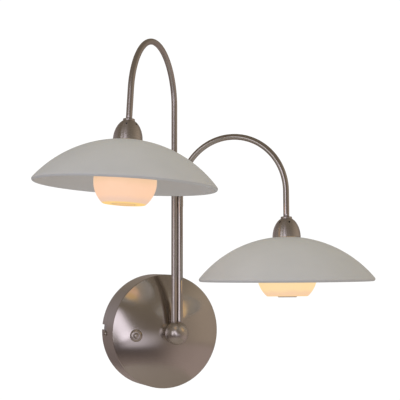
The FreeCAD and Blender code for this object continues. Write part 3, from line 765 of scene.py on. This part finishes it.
@dataclass
class Head:
    """What is built on one arm's end: saucer and cup, in millimetres and degrees."""

    crook: Crook
    opal: OpalGlass
    cup_slip: float
    saucer_dip: float
    saucer_slide: float = 0.0
    dip_azimuth: float = -24.7
    saucer_radius: float = 115.0
    saucer_rise: float = 58.7
    saucer_thickness: float = 5.5
    saucer_hole: float = 12.8
    saucer_sides: int = 160
    bow_steps: int = 46
    nose_steps: int = 12
    cup_low: float = -20.6
    cup_radius: float = 39.2
    cup_widest: float = 28.0
    cup_lower: float = 37.2
    cup_upper: float = 47.2
    cup_shoulder: float = 66.0
    cup_neck_start: float = 68.6
    cup_neck_step: float = 3.0
    cup_neck_bevel: float = 0.8
    cup_neck_radius: float = 12.0
    cup_neck_bore: float = 9.4
    cup_neck_above_saucer: float = 8.4
    cup_rim_bevel: float = 0.5
    cup_wall: float = 3.0
    cup_round: float = 3.0
    cup_least_round: float = 0.8
    cup_round_clear: float = 0.45
    cup_sides: int = 128
    cup_corner_steps: int = 8
    cup_lower_steps: int = 22
    cup_upper_steps: int = 18
    disc_radius: float = 12.5
    disc_height: float = 1.3
    disc_flat_inset: float = 1.2
    disc_round: float = 1.0
    disc_round_end: float = -0.15
    disc_round_steps: int = 4
    disc_foot: Pair = (0.25, 0.02)

    def build(self, glass: Material) -> None:
        """Builds the saucer and the cup.

        Args:
            glass: the saucer's finish.
        """
        place = self.crook.head_matrix()
        lowered = place @ Matrix.Translation((0.0, 0.0, -self.cup_slip * MM))
        side = self.crook.side.value
        for node, profile, sides, matrix, material, slot in (
                (side + "_saucer", self.saucer_profile(), self.saucer_sides, self._dipped(place), glass,
                 "frosted_glass"),
                (side + "_cup", self.cup_profile(), self.cup_sides, lowered, self.opal.build(),
                 side + "_opal_glass")):
            scaled = [(radius * MM, height * MM) for radius, height in profile]
            mesh = lathe(node + "_dressed", scaled, sides, matrix)
            add_piece(node + "_dressed", mesh, material, self.crook.body, [node])

    def _dipped(self, place: Matrix) -> Matrix:
        """Lets the saucer hang a little out of square on its soft gasket.

        Args:
            place: the head's place.

        Returns:
            The saucer's place, its rim lower at the dip's azimuth, slid to the left on the cup's neck.
        """
        slide = Matrix.Translation((-self.saucer_slide * MM, 0.0, 0.0))
        seat = place @ Vector((0.0, 0.0, self.saucer_rise * MM))
        turn = math.radians(self.dip_azimuth)
        towards = Vector((math.sin(turn), -math.cos(turn), 0.0))
        tilt = Quaternion(towards.cross(-UP), math.radians(self.saucer_dip)).to_matrix().to_4x4()
        return slide @ Matrix.Translation(seat) @ tilt @ Matrix.Translation(-seat) @ place

    def saucer_profile(self) -> Profile:
        """Gives the saucer's section.

        Returns:
            Two concentric arcs and a rounded edge, in millimetres from the saucer's rim.
        """
        half = self.saucer_thickness / 2.0
        rim = self.saucer_radius - half
        bow = rim ** 2 + (self.saucer_rise - half) ** 2 - half ** 2
        bow = bow / (2.0 * (self.saucer_rise - self.saucer_thickness))
        centre = (0.0, self.saucer_rise - bow)
        edge = math.atan2(half - centre[1], rim)
        outside_start = math.acos(self.saucer_hole / bow)
        inside_start = math.acos(self.saucer_hole / (bow - self.saucer_thickness))
        outside = arc(centre, bow, edge, outside_start, self.bow_steps)
        inside = arc(centre, bow - self.saucer_thickness, inside_start, edge, self.bow_steps)
        nose = arc((rim, half), half, edge - math.pi, edge, self.nose_steps)[1:-1]
        return outside + inside + nose

    def cup_profile(self) -> Profile:
        """Gives the cup's section.

        Returns:
            The points from the middle of its bottom out, up and back down inside, in millimetres.
        """
        low = self.cup_low
        face = low - self.disc_height
        flat = self.disc_radius - self.disc_flat_inset
        disc = [(0.0, face), (flat, face)]
        disc += arc((flat, face + self.disc_round), self.disc_round, -QUARTER_TURN, self.disc_round_end,
                    self.disc_round_steps)[1:]
        disc += [(self.disc_radius + self.disc_foot[0], low + self.disc_foot[1])]
        top = self.saucer_rise + self.cup_neck_above_saucer
        bevel = self.cup_rim_bevel
        rim = [(self.cup_neck_radius, top - bevel), (self.cup_neck_radius - bevel, top),
               (self.cup_neck_bore + bevel, top), (self.cup_neck_bore, top - bevel)]
        inside = list(reversed(self._cup_side(self.cup_wall)))
        return disc + self._cup_side(0.0) + rim + inside + [(0.0, low + self.cup_wall)]

    def _cup_side(self, inset: float) -> Profile:
        """Gives the cup's side from its bottom corner up to its neck.

        Args:
            inset: 0 for the outside, the wall for the inside.

        Returns:
            The points, in millimetres, from the saucer's rim.
        """
        lower = self.cup_lower - inset
        upper = self.cup_upper - inset
        lower_centre = (self.cup_radius - self.cup_lower, self.cup_widest)
        upper_centre = (self.cup_radius - self.cup_upper, self.cup_widest)
        bottom = -math.asin((self.cup_widest - inset) / lower)
        corner = (lower_centre[0] + lower * math.cos(bottom), inset)
        soft = max(self.cup_round - inset, self.cup_least_round)
        points = self._softened(corner, bottom + QUARTER_TURN, soft)
        clear = soft * self.cup_round_clear / lower
        points += arc(lower_centre, lower, bottom + clear, 0.0, self.cup_lower_steps)
        shoulder = math.asin((self.cup_shoulder - self.cup_widest - inset) / upper)
        points += arc(upper_centre, upper, 0.0, shoulder, self.cup_upper_steps)[1:]
        neck = self.cup_neck_radius if inset == 0.0 else self.cup_neck_bore
        start = self.cup_neck_start - inset
        points += [(points[-1][0] - self.cup_neck_step, start), (neck + self.cup_neck_bevel, start),
                   (neck, start + self.cup_neck_bevel)]
        return [(radius, height + self.cup_low) for radius, height in points]

    def _softened(self, corner: Pair, heading: float, radius: float) -> Profile:
        """Gives a small arc that rounds the corner between the flat bottom and the side's heading."""
        centre = (corner[0] - radius * math.tan(heading / 2.0), corner[1] + radius)
        return arc(centre, radius, -QUARTER_TURN, heading - QUARTER_TURN, self.cup_corner_steps)


@dataclass(frozen=True)
class Softbox:
    """One soft rectangular light that faces the object; angles are in degrees, sizes in metres."""

    name: str
    azimuth: float
    elevation: float
    distance: float
    width: float
    height: float
    radiance: float
    colour: Colour
    roll: float = 0.0
    shows_in_metal: bool = True

    def build(self, aim: Vector) -> None:
        """Stands the light in its place.

        Args:
            aim: the point that it faces.
        """
        data = bpy.data.lights.new(self.name, "AREA")
        data.shape = "RECTANGLE"
        data.size = self.width
        data.size_y = self.height
        data.energy = self.radiance * math.pi * self.width * self.height
        data.color = self.colour
        turn = math.radians(self.azimuth)
        rise = math.radians(self.elevation)
        away = Vector((math.sin(turn) * math.cos(rise), -math.cos(turn) * math.cos(rise), math.sin(rise)))
        facing = away.to_track_quat("Z", "Y") @ Quaternion(UP, math.radians(self.roll))
        light = put(self.name, data)
        light.location = aim + away * self.distance
        light.rotation_euler = facing.to_euler()
        light.visible_camera = False
        light.visible_glossy = self.shows_in_metal
        LOG.info("softbox %s stands %.2f m away", self.name, self.distance)


@dataclass(frozen=True)
class Room:
    """The room's dim warm light by direction, as seen from the object.

    Pairs are in degrees of elevation or azimuth; wall_depth is the direction's part along Y instead.
    """

    above: Colour = (0.215, 0.18, 0.14)
    level: Colour = (0.20, 0.165, 0.135)
    table_edge: Colour = (0.095, 0.073, 0.067)
    below: Colour = (0.32, 0.258, 0.237)
    level_to_above: Pair = (2.0, 30.0)
    table_to_level: Pair = (-18.0, -12.0)
    edge_to_below: Pair = (-21.0, -44.0)
    edge_to_lit_side: Pair = (-10.0, 40.0)
    behind: Colour = (0.36, 0.32, 0.33)
    behind_high: Colour = (0.28, 0.24, 0.22)
    behind_low: Colour = (0.27, 0.22, 0.21)
    behind_from_low: Pair = (-5.0, 6.0)
    behind_to_high: Pair = (10.0, 26.0)
    behind_fades: Pair = (5.0, 45.0)
    wall_depth: Pair = (0.1, 0.5)
    dim_corner: Pair = (85.0, 112.0)
    dim_share: float = 0.25
    sill: Colour = (0.58, 0.56, 0.66)
    sill_bottom: Pair = (-22.0, -17.0)
    sill_top: Pair = (-12.0, 1.0)
    sill_left: Pair = (-40.0, -27.0)
    sill_right: Pair = (-20.0, 22.0)
    right_gain: float = 1.27
    high_gain: float = 0.1
    low_gain: float = 0.33
    gain_to_right: Pair = (-5.0, 70.0)
    gain_to_high: Pair = (15.0, 55.0)
    gain_from_low: Pair = (-16.0, -11.0)

    def build(self) -> None:
        """Builds the world's shader."""
        world = bpy.data.worlds.new("room")
        bpy.context.scene.world = world
        world.use_nodes = True
        nodes = Nodes(world.node_tree)
        degrees = 180.0 / math.pi
        right, back, up = nodes.parts(nodes.coordinate("Generated"))
        elevation = nodes.product(nodes.math("ARCSINE", up), degrees)
        azimuth = nodes.product(nodes.math("ARCTAN2", right, nodes.product(back, -1.0)), degrees)
        by_height, by_turn = partial(nodes.ease, elevation), partial(nodes.ease, azimuth)

        lit = nodes.math("MAXIMUM", by_height(self.edge_to_below), by_turn(self.edge_to_lit_side))
        low = nodes.blend(lit, self.table_edge, self.below)
        high = nodes.blend(by_height(self.level_to_above), self.level, self.above)
        front = nodes.blend(by_height(self.table_to_level), low, high)

        behind = nodes.blend(by_height(self.behind_from_low), self.behind_low, self.behind)
        behind = nodes.blend(by_height(self.behind_to_high), behind, self.behind_high)
        near_level = nodes.ease(nodes.math("ABSOLUTE", elevation), self.behind_fades, FALL)
        corner = by_turn(self.dim_corner, (1.0, self.dim_share))
        share = nodes.product(nodes.ease(back, self.wall_depth), near_level, corner)
        room = nodes.blend(share, front, behind)

        sill = nodes.product(by_height(self.sill_bottom), by_height(self.sill_top, FALL),
                             by_turn(self.sill_right, FALL), by_turn(self.sill_left))
        whole = nodes.blend(sill, room, tuple(a + b for a, b in zip(self.level, self.sill)))
        gain = nodes.product(by_turn(self.gain_to_right, (0.0, self.right_gain)),
                             by_height(self.gain_to_high, (1.0, self.high_gain)),
                             by_height(self.gain_from_low, (self.low_gain, 1.0)), corner)
        background = nodes.tree.nodes["Background"]
        nodes.link(whole, background.inputs["Color"])
        nodes.link(nodes.math("ADD", gain, 1.0), background.inputs["Strength"])


@dataclass(frozen=True)
class Camera:
    """The photograph's camera, solved with the shape; place in metres, angles in degrees."""

    place: Triple = (-0.61297, -1.48734, 0.10618)
    azimuth: float = 24.72
    pitch: float = 2.81
    focal_pixels: float = 1121.13
    frame_pixels: float = 400.0
    sensor: float = 36.0
    farthest: float = 50.0

    def build(self) -> None:
        """Puts the camera into the scene."""
        data = bpy.data.cameras.new("photo_camera")
        data.sensor_fit = "HORIZONTAL"
        data.sensor_width = self.sensor
        data.lens = self.focal_pixels * self.sensor / self.frame_pixels
        data.clip_end = self.farthest
        turn = math.radians(self.azimuth)
        rise = math.radians(self.pitch)
        ahead = Vector((math.sin(turn) * math.cos(rise), math.cos(turn) * math.cos(rise), math.sin(rise)))
        right = Vector((math.cos(turn), -math.sin(turn), 0.0))
        matrix = Matrix((right, right.cross(ahead), -ahead)).transposed().to_4x4()
        matrix.translation = Vector(self.place)
        camera = put("photo_camera", data)
        camera.matrix_world = matrix
        bpy.context.scene.camera = camera


@dataclass(frozen=True)
class Backdrop:
    """A plain white shell far behind everything, seen only directly."""

    radius: float = 9.0
    rows: int = 24
    columns: int = 48
    white: float = 1.05

    def build(self) -> None:
        """Builds the shell."""
        points = []
        for row in range(self.rows + 1):
            polar = math.pi * row / self.rows
            points += circle(self.radius * math.sin(polar), self.radius * math.cos(polar), self.columns)
        mesh = mesh_of("backdrop", points, bands(range(0, len(points), self.columns), self.columns))
        shell = put("backdrop", mesh)
        shader = Shader("backdrop_white")
        shader.set(Base_Color=(0.0, 0.0, 0.0, 1.0), Emission_Color=(1.0, 1.0, 1.0, 1.0),
                   Emission_Strength=self.white, Specular_IOR_Level=0.0)
        mesh.materials.append(shader.material)
        for way in ("diffuse", "glossy", "transmission", "shadow", "volume_scatter"):
            setattr(shell, "visible_" + way, False)


@dataclass(frozen=True)
class Floor:
    """A round sheet of pale paper under the light, with sizes in metres."""

    radius: float = 0.65
    back: float = -0.1
    height: float = -0.62
    rings: int = 6
    steps: int = 64
    colours: tuple[Colour, Colour] = ((0.86, 0.85, 0.83), (0.90, 0.89, 0.87))
    speckles: float = 90.0
    speckle_detail: float = 4.0
    roughness: float = 0.8
    glow: Colour = (1.0, 0.84, 0.76)
    glow_strength: float = 0.06

    def build(self) -> None:
        """Lays the sheet."""
        points = [(0.0, self.back, self.height)]
        for ring in range(1, self.rings + 1):
            places = circle(self.radius * ring / self.rings, self.height, self.steps)
            points += [(across, back + self.back, up) for across, back, up in places]
        faces: list[Face] = [(0, 1 + index, 1 + after) for index, after in ring_steps(self.steps)]
        faces += bands(range(len(points) - self.steps, 0, -self.steps), self.steps)
        mesh = mesh_of("floor", points, faces)
        floor = put("floor", mesh)
        shader = Shader("floor_paper")
        speckle = shader.noise(self.speckles, self.speckle_detail)
        shader.feed("Base Color", shader.blend(speckle, *self.colours))
        shader.set(Roughness=self.roughness, Emission_Color=(*self.glow, 1.0),
                   Emission_Strength=self.glow_strength)
        mesh.materials.append(shader.material)


@dataclass
class Studio:
    """Camera, room, backdrop, floor and lights."""

    aim: Triple = (0.0, -0.10, 0.05)
    softboxes: tuple[Softbox, ...] = (
        Softbox("key_softbox", azimuth=-40.0, elevation=4.2, distance=1.7, width=0.53, height=1.18,
                radiance=1.34, colour=(0.99, 0.955, 1.12), roll=34.0),
        Softbox("side_softbox", azimuth=-67.5, elevation=1.0, distance=1.7, width=0.54, height=1.00,
                radiance=1.25, colour=(0.97, 0.94, 1.05)),
        Softbox("overhead_softbox", azimuth=0.0, elevation=82.0, distance=1.6, width=1.4, height=1.4,
                radiance=0.60, colour=(1.0, 0.98, 0.96), shows_in_metal=False),
    )

    def build(self) -> None:
        """Builds the whole set, which is shown without any film look."""
        bpy.context.scene.view_settings.view_transform = "Standard"
        for part in (Camera(), Room(), Backdrop(), Floor()):
            part.build()
        for softbox in self.softboxes:
            softbox.build(Vector(self.aim))
        LOG.info("studio built")


@dataclass
class WallLight:
    """The whole light: two arms with their heads on a canopy, and what stands behind it."""

    left: Head = field(default_factory=lambda: Head(
        Crook(Side.LEFT, foot=(-4.3, -81.0), azimuth=-43.1, bend_start=307.9, short_of_half_turn=3.5,
              twist=-2.1, drop=122.5, roughness=0.29),
        OpalGlass("left_opal", glow=(0.80, 0.47, 0.27), glow_top=(0.66, 0.40, 0.19),
                  glow_corner=(0.68, 0.43, 0.28), glow_floor=(0.80, 0.50, 0.10), ring=(0.48, 0.30, 0.10),
                  disc=(0.66, 0.38, 0.10)),
        cup_slip=1.3, saucer_dip=0.6))
    right: Head = field(default_factory=lambda: Head(
        Crook(Side.RIGHT, foot=(4.3, -81.0), azimuth=42.5, bend_start=188.5, short_of_half_turn=1.2,
              twist=-1.9, drop=118.5, roughness=0.09),
        OpalGlass("right_opal", glow=(0.82, 0.58, 0.25), glow_top=(0.80, 0.47, 0.18),
                  glow_corner=(0.76, 0.48, 0.25), glow_floor=(0.82, 0.50, 0.14), ring=(0.48, 0.34, 0.16),
                  disc=(0.14, 0.12, 0.11)),
        cup_slip=-1.1, saucer_dip=1.7, saucer_slide=0.72))
    turned: BrushedNickel = BrushedNickel(
        "nickel_turned", Grain.ROUND_Z, (0.59, 0.55, 0.52), roughness=0.28, anisotropy=1.0, lines=4200.0,
        contrast=0.04, relief=SMOOTH)
    finishes: tuple[tuple[Finish, tuple[str, ...]], ...] = (
        (BrushedNickel("nickel_round_y", Grain.ROUND_Y, roughness=0.18, anisotropy=0.72), ("canopy_shell",)),
        # painted shade: the neck ring gets a darker copy of the nickel, so it looks shaded in the gap between
        # dome and ball
        (BrushedNickel("nickel_neck_painted_shade", Grain.ROUND_Y, (0.38, 0.35, 0.33), roughness=0.4, anisotropy=0.5),
         ("neck_ring",)),
        (BrushedNickel("nickel_button", Grain.ROUND_Y, roughness=0.36, anisotropy=0.0, relief=SMOOTH),
         ("switch_ring", "switch_plunger")),
        (BrushedNickel("nickel_round_x", Grain.ROUND_X), ("canopy_side_screws",)),
        (BrushedNickel("nickel_ball", Grain.ROUND_Z, roughness=0.28, anisotropy=0.3),
         ("hub_ball", "ball_plug")),
        (BrushedNickel("nickel_round_z", Grain.ROUND_Z), ("right_foot_sleeve", "right_upper_sleeve")),
        (PlatedSteel("zinc_plate", ZINC),
         ("wall_bracket", "dome_washer", "nipple", "nipple_nut", "switch_nut", "transformer_screws",
          "terminal_screw", "earth_screw")),
        (Moulded("black_housing", (0.03, 0.03, 0.032), 0.5), ("transformer", "switch_body")),
        (Moulded("white_housing", (0.74, 0.74, 0.70), 0.45), ("terminal_block",)),
        (PlatedSteel("brass_tag", (0.72, 0.52, 0.24), 0.3), ("earth_tag",)),
        (Moulded("vulcan_fibre", (0.38, 0.09, 0.05), 0.7, grain=1600.0), ("foot_washers",)),
    )

    def build(self) -> None:
        """Builds and dresses every piece."""
        turned = self.turned.build()
        glass = EtchedGlass("etched_glass").build()
        for head in (self.left, self.right):
            head.crook.build()
            head.build(glass)
            self._dress_head(head.crook.side.value, turned)
        for finish, nodes in self.finishes:
            dress(nodes, finish.build())

    @staticmethod
    def _dress_head(side: str, nickel: Material) -> None:
        """Dresses one head's CAD pieces.

        Args:
            side: the arm's name.
            nickel: the finish of the pieces that show.
        """
        dress([side + "_cap", side + "_collar"], nickel)
        for finish, pieces in (
                (PlatedSteel(side + "_zinc", ZINC),
                 ("collar_nut", "collar_washer", "foot_stud", "foot_ring")),
                (PlatedSteel(side + "_aluminium", (0.72, 0.72, 0.73), 0.4), ("glass_carrier",)),
                (Moulded(side + "_steatite", (0.80, 0.77, 0.68), 0.6, grain=1400.0), ("lamp_holder",)),
                (ClearGlass(side + "_quartz"), ("lamp_capsule",)),
                (PlatedSteel(side + "_pin_metal", (0.66, 0.63, 0.58), 0.3), ("lamp_pins",)),
                (Moulded(side + "_silicone", (0.62, 0.62, 0.60), 0.55, grain=300.0, relief=(0.00002, 0.5)),
                 ("gasket",)),
                (Moulded(side + "_sheath", (0.70, 0.68, 0.62), 0.4, grain=500.0, relief=(0.00002, 0.5)),
                 ("lead",))):
            dress([side + "_" + piece for piece in pieces], finish.build())


def main() -> None:
    """Builds the light and its studio."""
    logging.basicConfig(level=logging.INFO, format="%(name)s: %(message)s")
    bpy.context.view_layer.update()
    WallLight().build()
    Studio().build()


if __name__ == "__main__":
    main()
